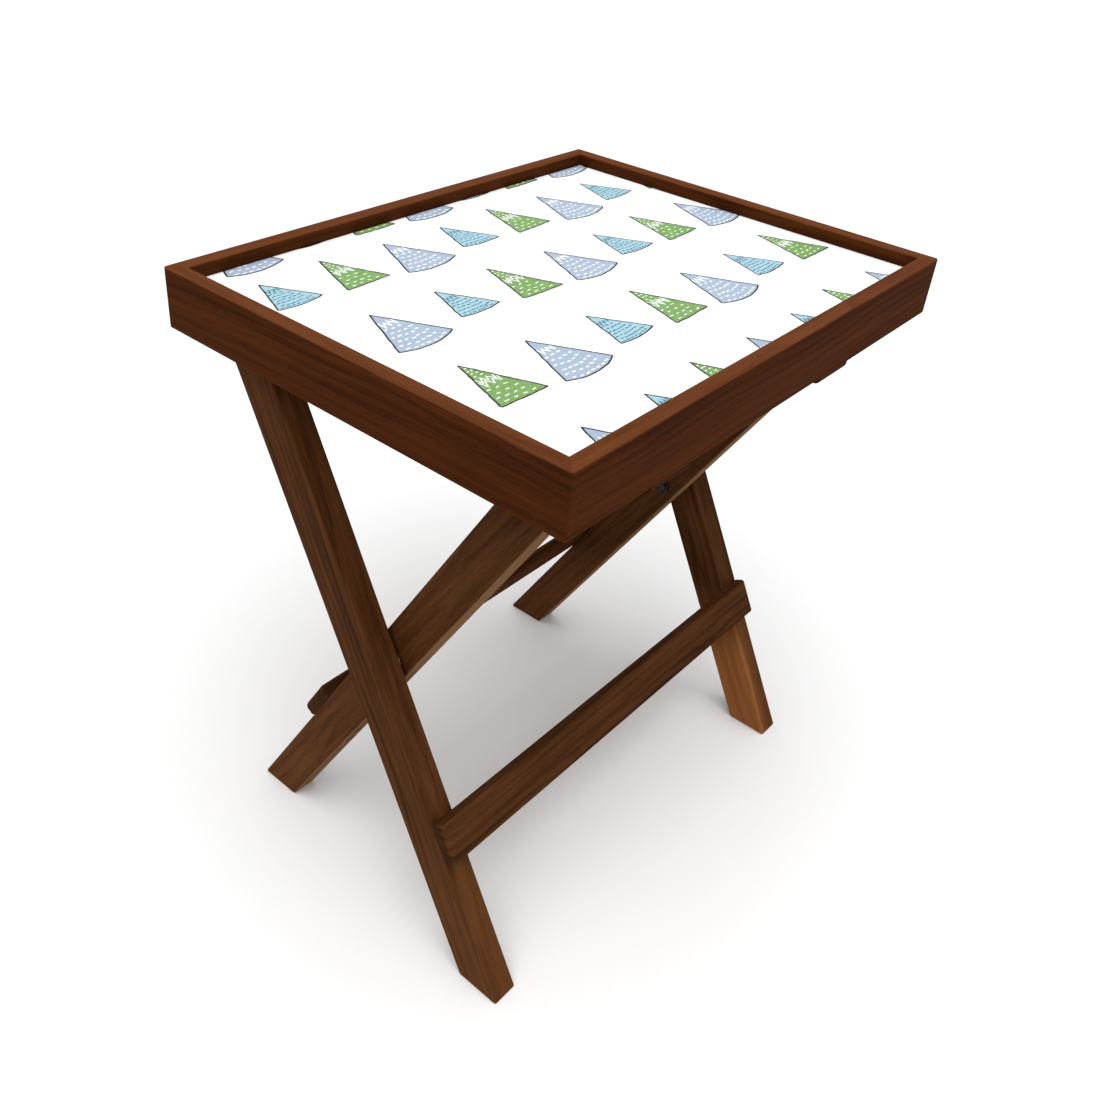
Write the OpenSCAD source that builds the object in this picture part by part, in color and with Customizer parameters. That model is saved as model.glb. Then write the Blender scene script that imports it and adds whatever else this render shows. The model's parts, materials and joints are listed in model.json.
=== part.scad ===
// Folding tray table: a mitred wooden tray on two crossed leg frames.
// X runs along the tray's long side, Y along its short side and Z up from the floor.
// The origin is on the floor under the tray's centre. The outer frame's feet stand at -Y and
// its tops are hinged to the tray at +Y, around a round hinge rail that joins them. The inner
// frame's feet stand at +Y and its top rail bears on two notched blocks behind the tray's
// front (-Y) wall.

/* [Overall] */
// Length of the tray, along X
table_w = 381; // [360:1:420]
// Width of the tray, along Y
table_d = 298.5; // [290:0.5:320]
// Height of the tray's rim above the floor
table_h = 425.5; // [415:0.5:440]

/* [Tray] */
// Height of the tray's walls
wall_h = 38; // [34:0.5:42]
// Thickness of the tray's walls
wall_t = 10; // [9:0.5:12]
// Depth of the printed sheet below the rim
rim_depth = 9; // [7:0.5:11]
// Thickness of the tray panel
panel_t = 4; // [3:0.5:5]
// Thickness of the printed sheet on the panel
sheet_t = 0.6; // [0.4:0.1:1]
// Depth of the groove that the panel's edge sits in
groove_depth = 4; // [3:0.5:5]

/* [Legs] */
// Width of the leg boards, across the leg in the Y-Z plane
leg_w = 29; // [25:0.5:31]
// Thickness of the leg boards, along X
leg_t = 19.5; // [16:0.5:21]
// Lean of the outer legs from the vertical, in degrees
outer_lean = 27.7; // [26.5:0.1:30]
// Lean of the inner legs from the vertical, in degrees
inner_lean = 30.9; // [29:0.1:32]
// Distance of the tray's hinge from the tray's middle, towards +Y
hinge_y = 96.5; // [92:0.5:98]
// Distance of the inner feet's middle from the tray's middle, towards +Y
inner_foot_y = 119.5; // [109:0.5:122]
// Gap between the outer and inner legs, filled by a spacer washer
leg_gap = 3; // [2:0.5:4]

/* [Stretchers] */
// Width of the front stretcher, along the leg
front_stretcher_w = 28; // [26:0.5:34]
// Width of the back stretcher, along the leg
back_stretcher_w = 33; // [28:0.5:38]
// Thickness of the two stretchers
stretcher_t = 10; // [7:0.5:12]
// Height of the front stretcher's middle, measured on the outer leg's centre line
front_stretcher_z = 102.5; // [90:0.5:115]
// Height of the back stretcher's middle, measured on the inner leg's centre line
back_stretcher_z = 108.5; // [95:0.5:120]

/* [Rails and rest blocks] */
// Diameter of the round top rail and of the hinge rail
rail_d = 20; // [16:1:22]
// Length of each rest block, along X
block_l = 35; // [30:1:45]
// Distance of each rest block's middle from the tray's middle, along X
block_x = 89; // [60:1:110]
// How far the rest blocks hang below the walls
block_drop = 17; // [12:0.5:20]

/* [Hardware] */
// Diameter of the hinge pins
pin_d = 8; // [6:0.5:9]
// Diameter of the pivot bolts
bolt_d = 6; // [5:0.5:7]
// Diameter of the wood screws' shanks
screw_d = 3.8; // [3.5:0.1:4.2]

/* [Hidden] */

// Facets on the round parts
$fn = 48;
// Facets on each softened arris
arris_steps = 3;
// Running clearance on the radius of a pin or bolt that turns
running = 0.05;
// Clearance on the radius of a fixed fastener or a glued tenon
snug = 0.03;
// Play on each side of a washer between moving parts
play = 0.2;

// Softened arrises of the walls, legs and stretchers
wall_arris = 1.2;
leg_arris = 1.5;
stretcher_arris = 1.6;
// Rounding of the tray's and the stretchers' corners
tray_corner_r = 1.6;
stretcher_corner_r = 4;

// Walls and panel
wall_bottom = table_h - wall_h;
sheet_top = table_h - rim_depth;
panel_top = sheet_top - sheet_t;
panel_bottom = panel_top - panel_t;
groove_play = 0.1;
panel_inset = wall_t - groove_depth + 0.4;

// Side play between the walls and the outer legs, filled by a thin washer
side_gap = 1;
outer_face_x = table_w / 2 - wall_t - side_gap;
outer_mid_x = outer_face_x - leg_t / 2;
inner_face_x = outer_face_x - leg_t - leg_gap;
inner_mid_x = inner_face_x - leg_t / 2;
rail_end_x = inner_face_x - leg_t;

// Hinge axis: the rounded leg tops clear the panel
top_clearance = 1.4;
hinge_z = panel_bottom - top_clearance - leg_w / 2;

// The two leg frames cross at the pivot
outer_foot_y = hinge_y - hinge_z * tan(outer_lean);
pivot_z = (inner_foot_y - outer_foot_y) / (tan(outer_lean) + tan(inner_lean));
pivot_y = outer_foot_y + pivot_z * tan(outer_lean);

// The rail is as far from the pivot as the hinge is, so the frames close like scissors
hinge_reach = (hinge_z - pivot_z) / cos(outer_lean);
rail_y = pivot_y - hinge_reach * sin(inner_lean);
rail_z = pivot_z + hinge_reach * cos(inner_lean);
tenon_d = rail_d * 0.7;
tenon_l = 11;

// Rest blocks: a stop in front of the rail and a pad over it
rail_play = 0.4;
block_front_y = -table_d / 2 + wall_t;
block_stop_y = rail_y - rail_d / 2 - rail_play;
block_back_y = rail_y + 13;
block_pad_z = rail_z + rail_d / 2 + rail_play;
block_bottom = wall_bottom - block_drop;
block_corner_r = 4;

// Splines across the mitres
spline_t = 3;
spline_l = 8;
spline_w = 7.2;
spline_inset = wall_t * 0.67;
spline_heights = [wall_bottom + 7, panel_bottom - 6];

// Hinge rail, with pins in its ends that pass through the outer legs into the side walls
hinge_rail_end_x = outer_face_x - leg_t - 0.5;
pin_in_rail = 20;
pin_in_wall = wall_t - 2.5;
pin_end_play = 0.3;
hinge_washer_r = pin_d;
hinge_washer_t = side_gap - 0.2;

// Pivot bolts, inserts and washers
bolt_head_r = bolt_d * 0.9;
bolt_head_h = 3.5;
bolt_socket_d = 4.6;
bolt_socket_depth = 2.2;
head_washer_r = bolt_d * 1.3;
head_washer_t = 1.2;
insert_r = bolt_d * 0.75;
insert_l = 12;
spacer_r = bolt_d * 1.6;
bolt_head_x = rail_end_x - play - head_washer_t;

// Wood screws
screw_head_r = screw_d * 0.95;
screw_head_h = 2.6;
counterbore_r = screw_head_r + 0.6;
counterbore_depth = 9;
screw_in_stretcher = stretcher_t - 2.5;
block_screw_pitch = block_l / 2;
block_screw_z = wall_bottom + 8;
block_screw_tip_y = block_front_y - wall_t + 2;

wood_rim = [0.45, 0.24, 0.14];
wood_leg = [0.38, 0.23, 0.15];
steel = [0.62, 0.62, 0.64];
brass = [0.72, 0.58, 0.30];
nylon = [0.85, 0.84, 0.80];

// Outline of a rectangle centred on the origin, with rounded corners
function rounded_rect(w, h, r) = [
    for (c = [[1, 1, 0], [-1, 1, 90], [-1, -1, 180], [1, -1, 270]])
        for (i = [0:arris_steps])
            let (a = c[2] + 90 * i / arris_steps)
                [c[0] * (w / 2 - r) + r * cos(a), c[1] * (h / 2 - r) + r * sin(a)]
];

// Shapes made for x > 0 are mirrored for the left side
module on_side(side) {
    mirror([side < 0 ? 1 : 0, 0, 0]) children();
}

// A cylinder along +X that starts at x
module rod_x(x, y, z, r, l) {
    translate([x, y, z]) rotate([0, 90, 0]) cylinder(r = r, h = l);
}

// A flat ring along +X that starts at x
module ring_x(x, y, z, r_out, r_in, l) {
    difference() {
        rod_x(x, y, z, r_out, l);
        rod_x(x - 1, y, z, r_in, l + 2);
    }
}

// Countersunk wood screw: the head's top at the origin, the shank along -Z
module wood_screw(l) {
    tip = screw_d * 0.9;
    r = screw_d / 2;
    rotate_extrude() polygon([[0, 0], [screw_head_r, 0], [screw_head_r, -0.5],
        [r, -screw_head_h], [r, tip - l], [0, -l]]);
}

// The hole that a wood screw fills
module screw_hole(l) {
    r = screw_d / 2 + snug;
    head_r = screw_head_r + snug;
    rotate_extrude() polygon([[0, 1], [head_r, 1], [head_r, -0.5 - snug],
        [r, -screw_head_h - snug], [r, -l - snug], [0, -l - snug]]);
}

// ---- Tray ----

// Wall along X on the -Y side, mitred at both ends, for a tray of size l by d
module mitred_wall(l, d) {
    reach = 2 * wall_t;
    intersection() {
        difference() {
            translate([0, wall_t / 2 - d / 2, wall_bottom + wall_h / 2]) rotate([90, 0, 90])
                linear_extrude(l, center = true)
                    polygon(rounded_rect(wall_t, wall_h, wall_arris));
            translate([-l, wall_t - groove_depth - d / 2, panel_bottom - groove_play])
                cube([2 * l, 2 * groove_depth, panel_t + sheet_t + 2 * groove_play]);
            for (side = [-1, 1]) on_side(side)
                translate([l / 2, -d / 2, wall_bottom - 1]) rotate([0, 0, 45])
                    translate([0, -reach, 0]) cube([reach, 3 * reach, wall_h + 2]);
        }
        translate([0, 0, wall_bottom - 1]) linear_extrude(wall_h + 2)
            polygon(rounded_rect(l, d, tray_corner_r));
    }
}

// Front or back wall
module long_wall(end) {
    color(wood_rim) difference() {
        mirror([0, end > 0 ? 1 : 0, 0]) mitred_wall(table_w, table_d);
        spline_pockets();
        if (end < 0) block_screws(hole = true);
    }
}

// Left or right wall, with the blind bore that takes the hinge pin
module side_wall(side) {
    color(wood_rim) difference() {
        rotate([0, 0, side < 0 ? -90 : 90]) mitred_wall(table_d, table_w);
        spline_pockets();
        on_side(side) rod_x(table_w / 2 - wall_t - 1, hinge_y, hinge_z, pin_d / 2 + running,
            pin_in_wall + 1);
    }
}

module spline(corner_x, corner_y, z, grow) {
    translate([corner_x * (table_w / 2 - spline_inset), corner_y * (table_d / 2 - spline_inset), z])
        rotate([0, 0, corner_x * corner_y * 45])
            cube([spline_l, spline_w, spline_t] + [grow, grow, grow], center = true);
}

module spline_set(grow) {
    for (sx = [-1, 1], sy = [-1, 1], z = spline_heights) spline(sx, sy, z, grow);
}

module spline_pockets() {
    spline_set(0.1);
}

module corner_splines() {
    color("burlywood") spline_set(0);
}

module flat_board(z, t) {
    translate([0, 0, z + t / 2])
        cube([table_w - 2 * panel_inset, table_d - 2 * panel_inset, t], center = true);
}

module tray_panel() {
    color("tan") flat_board(panel_bottom, panel_t);
}

module printed_sheet() {
    color("white") flat_board(panel_top, sheet_t);
}

// Side outline of a rest block, from the front wall to behind the rail, open below and behind
function block_outline() = concat(
    [[block_front_y, panel_bottom], [block_front_y, block_bottom + block_corner_r]],
    [for (i = [1:arris_steps]) let (a = 180 + 90 * i / arris_steps)
        [block_front_y + block_corner_r * (1 + cos(a)),
            block_bottom + block_corner_r * (1 + sin(a))]],
    [[block_stop_y - 1, block_bottom], [block_stop_y, block_bottom + 1]],
    [[block_stop_y, block_pad_z], [block_back_y, block_pad_z], [block_back_y, panel_bottom]]
);

module rest_block(side) {
    color(wood_rim) difference() {
        on_side(side) translate([block_x - block_l / 2, 0, 0]) rotate([90, 0, 90])
            linear_extrude(block_l) polygon(block_outline());
        block_screws(hole = true);
    }
}

// Screws through the rest blocks into the front wall
module block_screws(hole = false) {
    l = block_stop_y - block_screw_tip_y;
    for (side = [-1, 1], offset = [-1, 1])
        translate([side * block_x + offset * block_screw_pitch / 2, block_stop_y, block_screw_z])
            rotate([-90, 0, 0]) {
                if (hole) screw_hole(l);
                else wood_screw(l);
            }
}

module rest_block_screws() {
    color(steel) block_screws();
}

// ---- Leg frames ----

// Puts children, made around a leg's top centre with the leg along -Z, in a leg's place
module lean(y, z, angle) {
    translate([0, y, z]) rotate([angle, 0, 0]) children();
}

// A leg board with a rounded top around (y, z), cut level at the floor
module leg_board(x, y, z, angle) {
    l = z / cos(angle) + leg_w;
    difference() {
        lean(y, z, angle) intersection() {
            translate([x, 0, -l]) linear_extrude(l + leg_w)
                polygon(rounded_rect(leg_t, leg_w, leg_arris));
            union() {
                rod_x(x - leg_t, 0, 0, leg_w / 2 + 0.02, 2 * leg_t);
                translate([x - leg_t, -leg_w, -2 * l]) cube([2 * leg_t, 2 * leg_w, 2 * l]);
            }
        }
        translate([0, -table_d, -table_h]) cube([table_w, 2 * table_d, table_h]);
    }
}

// Board with softened arrises, centred on the origin, its outer corners rounded towards +Y
module stretcher_board(l, w) {
    intersection() {
        rotate([90, 0, 90]) linear_extrude(l, center = true)
            polygon(rounded_rect(stretcher_t, w, stretcher_arris));
        translate([0, -w / 2 + stretcher_t / 2, 0]) linear_extrude(2 * w, center = true)
            polygon(rounded_rect(l, w, stretcher_corner_r));
    }
}

// Places children at a stretcher's height on a leg's centre line, with Z along the leg
module at_leg_height(foot_y, height, angle) {
    translate([0, foot_y - height * tan(angle), height]) rotate([angle, 0, 0]) children();
}

// The two screws of one end of a stretcher of width w, from the leg's far face into it at +Y
module stretcher_end_screws(x, w, hole) {
    l = leg_w - counterbore_depth + screw_in_stretcher;
    for (offset = [-1, 1])
        translate([x, counterbore_depth - leg_w / 2, offset * w / 4])
            rotate([90, 0, 0]) {
                if (hole) {
                    screw_hole(l);
                    cylinder(r = counterbore_r, h = counterbore_depth + 1);
                } else wood_screw(l);
            }
}

// Front stretcher's own frame: +Y points away from the outer legs' front face
module front_place() {
    at_leg_height(outer_foot_y, front_stretcher_z, -outer_lean) rotate([0, 0, 180]) children();
}

module back_place() {
    at_leg_height(inner_foot_y, back_stretcher_z, inner_lean) children();
}

module front_screws(hole = false) {
    front_place() for (side = [-1, 1])
        stretcher_end_screws(side * outer_mid_x, front_stretcher_w, hole);
}

module back_screws(hole = false) {
    back_place() for (side = [-1, 1])
        stretcher_end_screws(side * inner_mid_x, back_stretcher_w, hole);
}

module front_stretcher() {
    color(wood_leg) difference() {
        front_place() translate([0, (leg_w + stretcher_t) / 2, 0])
            stretcher_board(2 * outer_face_x, front_stretcher_w);
        front_screws(hole = true);
    }
}

module back_stretcher() {
    color(wood_leg) difference() {
        back_place() translate([0, (leg_w + stretcher_t) / 2, 0])
            stretcher_board(2 * inner_face_x, back_stretcher_w);
        back_screws(hole = true);
    }
}

module front_stretcher_screws() {
    color(steel) front_screws();
}

module back_stretcher_screws() {
    color(steel) back_screws();
}

// Outer leg: a through bore that turns on the hinge pin and a blind hole for the insert
module outer_leg(side) {
    color(wood_leg) difference() {
        on_side(side) difference() {
            leg_board(outer_mid_x, hinge_y, hinge_z, -outer_lean);
            rod_x(outer_face_x - leg_t - 1, hinge_y, hinge_z, pin_d / 2 + running, leg_t + 2);
            rod_x(outer_face_x - leg_t - 1, pivot_y, pivot_z, insert_r + snug, insert_l + 2);
        }
        front_screws(hole = true);
    }
}

// Inner leg: a through bore that turns on the pivot bolt and a blind hole for the rail's tenon
module inner_leg(side) {
    color(wood_leg) difference() {
        on_side(side) difference() {
            leg_board(inner_mid_x, rail_y, rail_z, inner_lean);
            rod_x(rail_end_x - 1, pivot_y, pivot_z, bolt_d / 2 + running, leg_t + 2);
            rod_x(rail_end_x - 1, rail_y, rail_z, tenon_d / 2 + snug, tenon_l + 1.3);
        }
        back_screws(hole = true);
    }
}

module top_rail() {
    color(wood_leg) {
        rod_x(-rail_end_x, rail_y, rail_z, rail_d / 2, 2 * rail_end_x);
        rod_x(-rail_end_x - tenon_l, rail_y, rail_z, tenon_d / 2, 2 * (rail_end_x + tenon_l));
    }
}

// ---- Pivot and hinge hardware ----

// Button-head bolt through the inner leg and spacer into the outer leg's insert
module pivot_bolts() {
    head_base_x = bolt_head_x - bolt_head_h;
    color(steel) for (side = [-1, 1]) on_side(side) difference() {
        translate([head_base_x, pivot_y, pivot_z]) rotate([0, 90, 0])
            rotate_extrude() polygon([[0, 0], [bolt_head_r * 0.55, 0], [bolt_head_r * 0.85, 0.9],
                [bolt_head_r, 2.2], [bolt_head_r, bolt_head_h], [bolt_d / 2, bolt_head_h],
                [bolt_d / 2, inner_face_x + leg_gap + insert_l - head_base_x],
                [0, inner_face_x + leg_gap + insert_l - head_base_x]]);
        translate([head_base_x - 1, pivot_y, pivot_z]) rotate([0, 90, 0])
            cylinder(d = bolt_socket_d, h = bolt_socket_depth + 1, $fn = 6);
    }
}

module pivot_head_washers() {
    color(steel) for (side = [-1, 1]) on_side(side)
        ring_x(bolt_head_x, pivot_y, pivot_z, head_washer_r, bolt_d / 2 + 0.2, head_washer_t);
}

module pivot_spacers() {
    color(nylon) for (side = [-1, 1]) on_side(side)
        ring_x(inner_face_x + play, pivot_y, pivot_z, spacer_r, bolt_d / 2 + 0.2, leg_gap - play);
}

module pivot_inserts() {
    color(brass) for (side = [-1, 1]) on_side(side)
        ring_x(inner_face_x + leg_gap, pivot_y, pivot_z, insert_r, bolt_d / 2 + snug, insert_l);
}

// Round rail between the outer legs' tops, bored at both ends for the hinge pins
module hinge_rail() {
    color(wood_leg) difference() {
        rod_x(-hinge_rail_end_x, hinge_y, hinge_z, rail_d / 2, 2 * hinge_rail_end_x);
        for (side = [-1, 1]) on_side(side)
            rod_x(hinge_rail_end_x - pin_in_rail, hinge_y, hinge_z, pin_d / 2 + snug,
                pin_in_rail + 1);
    }
}

// Steel pins, fixed in the hinge rail's ends and turning in the legs and the side walls
module hinge_pins() {
    start_x = hinge_rail_end_x - pin_in_rail + pin_end_play;
    end_x = outer_face_x + side_gap + pin_in_wall - pin_end_play;
    color(steel) for (side = [-1, 1]) on_side(side)
        rod_x(start_x, hinge_y, hinge_z, pin_d / 2, end_x - start_x);
}

module hinge_washers() {
    color(nylon) for (side = [-1, 1]) on_side(side)
        ring_x(outer_face_x + (side_gap - hinge_washer_t) / 2, hinge_y, hinge_z,
            hinge_washer_r, pin_d / 2 + 0.1, hinge_washer_t);
}

side_wall(-1);  // left_wall
side_wall(1);  // right_wall
long_wall(-1);  // front_wall
long_wall(1);  // back_wall
tray_panel();
printed_sheet();
rest_block(-1);  // left_rest_block
rest_block(1);  // right_rest_block
rest_block_screws();
corner_splines();
outer_leg(-1);  // left_outer_leg
outer_leg(1);  // right_outer_leg
front_stretcher();
front_stretcher_screws();
pivot_inserts();
pivot_bolts();
pivot_head_washers();
pivot_spacers();
inner_leg(-1);  // left_inner_leg
inner_leg(1);  // right_inner_leg
back_stretcher();
back_stretcher_screws();
top_rail();
hinge_rail();
hinge_pins();
hinge_washers();
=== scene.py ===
import json
import math
import random

import bmesh
import bpy
from mathutils import Matrix, Vector
from mathutils.geometry import delaunay_2d_cdt


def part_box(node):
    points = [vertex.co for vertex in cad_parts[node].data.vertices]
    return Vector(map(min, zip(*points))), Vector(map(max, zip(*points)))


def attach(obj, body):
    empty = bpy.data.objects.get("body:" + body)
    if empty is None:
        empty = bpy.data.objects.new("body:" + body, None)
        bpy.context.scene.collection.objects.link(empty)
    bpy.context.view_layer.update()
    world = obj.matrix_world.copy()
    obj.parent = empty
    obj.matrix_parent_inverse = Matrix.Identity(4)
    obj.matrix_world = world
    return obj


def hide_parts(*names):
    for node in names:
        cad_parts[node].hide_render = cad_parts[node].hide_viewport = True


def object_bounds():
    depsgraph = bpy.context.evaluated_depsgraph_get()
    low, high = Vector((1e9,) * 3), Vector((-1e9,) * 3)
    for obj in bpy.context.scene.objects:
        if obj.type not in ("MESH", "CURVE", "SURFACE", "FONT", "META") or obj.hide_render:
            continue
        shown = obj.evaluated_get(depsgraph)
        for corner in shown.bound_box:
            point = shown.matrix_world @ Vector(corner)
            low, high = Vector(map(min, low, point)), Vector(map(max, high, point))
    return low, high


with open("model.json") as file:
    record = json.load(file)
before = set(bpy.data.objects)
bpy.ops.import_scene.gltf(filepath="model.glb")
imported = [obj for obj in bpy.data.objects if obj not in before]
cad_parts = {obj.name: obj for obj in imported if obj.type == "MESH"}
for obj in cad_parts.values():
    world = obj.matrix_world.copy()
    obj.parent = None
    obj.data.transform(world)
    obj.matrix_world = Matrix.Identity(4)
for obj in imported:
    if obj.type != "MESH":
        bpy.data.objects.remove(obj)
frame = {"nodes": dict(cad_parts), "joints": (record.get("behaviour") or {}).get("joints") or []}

cad_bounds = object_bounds()

MM = 0.001
X, Y, Z = Vector((1, 0, 0)), Vector((0, 1, 0)), Vector((0, 0, 1))

# Softened edges and corners
WALL_ARRIS = 1.2 * MM
LEG_ARRIS = 1.5 * MM
STRETCHER_ARRIS = 1.6 * MM
BLOCK_ARRIS = 0.8 * MM
RAIL_CHAMFER = 0.8 * MM
ARRIS_STEPS = 4
TRAY_CORNER = 1.6 * MM
STRETCHER_CORNER = 4 * MM
BLOCK_CORNER = 4 * MM
STOP_CHAMFER = 1.2 * MM
SOFTENED_TURN = math.radians(30)
SHARP_TURN = math.radians(34)

# Board sizes that the frame's boxes don't give, and the tenons' share of their rail's radius
STRETCHER_THICK = 10 * MM
STRETCHER_WIDE = {"front_stretcher": 28 * MM, "back_stretcher": 33 * MM}
TENON_SHARE = 0.7

# Clearances between neighbours and round what is let into the wood
MITRE_GAP = 0.015 * MM
SNUG = 0.03 * MM
RUNNING = 0.05 * MM
GROOVE_PLAY = Vector((0.4, 0.4, 0.1)) * MM
RAIL_PLAY = 0.4 * MM
COUNTERBORE_PLAY = 0.6 * MM
COUNTERBORE_DEPTH = 20 * MM
WELD = 1e-6


# ---- Places taken from the frame ----

def joint_place(name):
    return Vector(next(j["pos_m"] for j in frame["joints"] if j["name"] == name))


def middle(node):
    low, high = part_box(node)
    return (low + high) / 2


HINGE = joint_place("tray_lift")
PIVOT = joint_place("leg_fold")
RAIL = middle("top_rail")
OUTER_ALONG = (HINGE - PIVOT).normalized()
INNER_ALONG = (RAIL - PIVOT).normalized()
LEG_HALF_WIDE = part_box("left_outer_leg")[1].z - HINGE.z
RAIL_RADIUS = (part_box("top_rail")[1].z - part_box("top_rail")[0].z) / 2
TRAY_HALF = Vector((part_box("right_wall")[1].x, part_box("back_wall")[1].y, 0))


# ---- Mesh tools ----

def new_piece(name, mesh):
    piece = bpy.data.objects.new(name, mesh)
    bpy.context.scene.collection.objects.link(piece)
    return piece


def mesh_of(bm, name):
    mesh = bpy.data.meshes.new(name)
    bmesh.ops.recalc_face_normals(bm, faces=bm.faces)
    bm.to_mesh(mesh)
    bm.free()
    return mesh


def arc(centre, radius, start, end, steps):
    """Points on an arc, with angles in degrees."""
    angles = [math.radians(start + (end - start) * i / steps) for i in range(steps + 1)]
    return [(centre[0] + radius * math.cos(a), centre[1] + radius * math.sin(a)) for a in angles]


def prism(outline, origin, first, second, extrude, low, high):
    """A closed outline in the plane of two axes, drawn out along a third from low to high."""
    bm = bmesh.new()
    rings = [[bm.verts.new(origin + first * a + second * b + extrude * h) for a, b in outline]
             for h in (low, high)]
    for ring in rings:
        bm.faces.new(ring)
    for i, start in enumerate(rings[0]):
        after = (i + 1) % len(outline)
        bm.faces.new((start, rings[0][after], rings[1][after], rings[1][i]))
    bmesh.ops.recalc_face_normals(bm, faces=bm.faces)
    return bm


def soften(bm, width, crisp=lambda edge: False):
    """Rounds every edge that turns by more than SOFTENED_TURN, apart from the crisp ones."""
    edges = [e for e in bm.edges if e.calc_face_angle(0) > SOFTENED_TURN and not crisp(e)]
    bmesh.ops.bevel(bm, geom=edges, offset=width, segments=ARRIS_STEPS, profile=0.5,
                    affect="EDGES", clamp_overlap=False)


def turned(profile, centre, steps=64):
    """A closed shape turned round the X axis through centre, from (x, radius) pairs."""
    bm = bmesh.new()
    rings = []
    for x, radius in profile:
        place = Vector((x, centre.y, centre.z))
        if not radius:
            rings.append([bm.verts.new(place)] * steps)
            continue
        turn = [math.tau * i / steps for i in range(steps)]
        rings.append([bm.verts.new(place + Y * radius * math.cos(a) + Z * radius * math.sin(a))
                      for a in turn])
    for ring, after in zip(rings, rings[1:]):
        for i in range(steps):
            k = (i + 1) % steps
            corners = [ring[i], ring[k], after[k], after[i]]
            bm.faces.new(dict.fromkeys(corners))
    return bm


def welded_copy(node):
    bm = bmesh.new()
    bm.from_mesh(frame["nodes"][node].data)
    bmesh.ops.remove_doubles(bm, verts=bm.verts, dist=WELD)
    return bm


def islands(node):
    """The separate solids of a CAD node, as lists of their points."""
    bm = welded_copy(node)
    seen, found = set(), []
    for start in bm.verts:
        if start in seen:
            continue
        seen.add(start)
        heap, group = [start], []
        while heap:
            vert = heap.pop()
            group.append(vert.co.copy())
            for edge in vert.link_edges:
                other = edge.other_vert(vert)
                if other not in seen:
                    seen.add(other)
                    heap.append(other)
        found.append(group)
    bm.free()
    return found


def grown_copy(node, by):
    """A CAD node's solids, pushed outwards by a clearance, to cut their seat with."""
    bm = welded_copy(node)
    bmesh.ops.recalc_face_normals(bm, faces=bm.faces)
    bm.normal_update()
    for vert in bm.verts:
        vert.co += vert.normal * by * vert.calc_shell_factor()
    return bm


def cylinder(centre, along, radius, length, steps=40):
    bm = bmesh.new()
    turn = along.to_track_quat("Z", "Y").to_matrix().to_4x4()
    place = Matrix.Translation(centre + along * length / 2) @ turn
    bmesh.ops.create_cone(bm, cap_ends=True, segments=steps, radius1=radius, radius2=radius,
                          depth=length, matrix=place)
    return bm


def box_between(low, high):
    bm = bmesh.new()
    size = high - low
    place = Matrix.Translation((low + high) / 2) @ Matrix.Diagonal((*size, 1))
    bmesh.ops.create_cube(bm, size=1, matrix=place)
    return bm


def carve(piece, cutters):
    """Cuts each cutter out of the piece."""
    for bm in cutters:
        tool = new_piece("tool", mesh_of(bm, "tool"))
        cut = piece.modifiers.new("cut", "BOOLEAN")
        cut.operation, cut.solver, cut.object = "DIFFERENCE", "EXACT", tool
        graph = bpy.context.evaluated_depsgraph_get()
        carved = bpy.data.meshes.new_from_object(piece.evaluated_get(graph))
        piece.modifiers.remove(cut)
        old, piece.data = piece.data, carved
        bpy.data.meshes.remove(old)
        bpy.data.meshes.remove(tool.data)
    piece.data.name = piece.name


def smooth(piece):
    """Smooth shading that keeps hard edges and flat faces."""
    piece.data.shade_smooth()
    piece.data.set_sharp_from_angle(angle=SHARP_TURN)
    weighted = piece.modifiers.new("flat_faces", "WEIGHTED_NORMAL")
    weighted.keep_sharp = True


# How far the grain may run out of a board, in degrees, and where along the log it may start, in mm
GRAIN_SLOPE = 2.5
LOG_REACH = 2000


def mark_grain(piece, along, across, seed, foot_tone=0.0, pale_edge=0.0,
               pith=((35, 95), (15, 45))):
    """Writes where each point lies in its board and in the log it was sawn from, in mm.

    foot_tone is how much lighter the board's lower end is painted, as painted floor light.
    pale_edge is how much paler the narrow face that looks the way the board's width runs (against
    it if below 0) is painted, as painted floor light. pith is how far the log's middle may be from
    the board's middle, across the board and through it."""
    rng = random.Random(seed)
    along = along.normalized()
    through = along.cross(across).normalized()
    axes = (along, through.cross(along), through)
    points = [Vector([v.co.dot(axis) / MM for axis in axes]) for v in piece.data.vertices]
    low = Vector([min(p[i] for p in points) for i in range(3)])
    high = Vector([max(p[i] for p in points) for i in range(3)])
    centre, half = (low + high) / 2, (high - low) / 2
    tilt = Matrix.Rotation(math.radians(rng.uniform(-GRAIN_SLOPE, GRAIN_SLOPE)), 3, "Z")
    tilt = tilt @ Matrix.Rotation(math.radians(rng.uniform(-GRAIN_SLOPE, GRAIN_SLOPE)), 3, "Y")
    offset = Vector((rng.uniform(-LOG_REACH, LOG_REACH),
                     rng.choice((-1, 1)) * rng.uniform(*pith[0]),
                     rng.choice((-1, 1)) * rng.uniform(*pith[1])))
    rows = {
        "in_board": [p - centre for p in points],
        "in_log": [tilt @ (p - centre) + offset for p in points],
        "board_half": [half] * len(points),
        "board_along": [along] * len(points),
        "painted_board_light": [Vector((0, foot_tone, pale_edge))] * len(points),
    }
    for name, values in rows.items():
        layer = piece.data.attributes.new(name, "FLOAT_VECTOR", "POINT")
        layer.data.foreach_set("vector", [c for value in values for c in value])


def finish_board(piece, material, body, slot, node, along, across, seed, **grain):
    """Gives a wooden board its grain, material, shading and place in the frame."""
    mark_grain(piece, along, across, seed, **grain)
    piece.data.materials.clear()
    piece.data.materials.append(material)
    smooth(piece)
    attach(piece, body)
    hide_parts(node)


# ---- Materials ----

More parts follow.
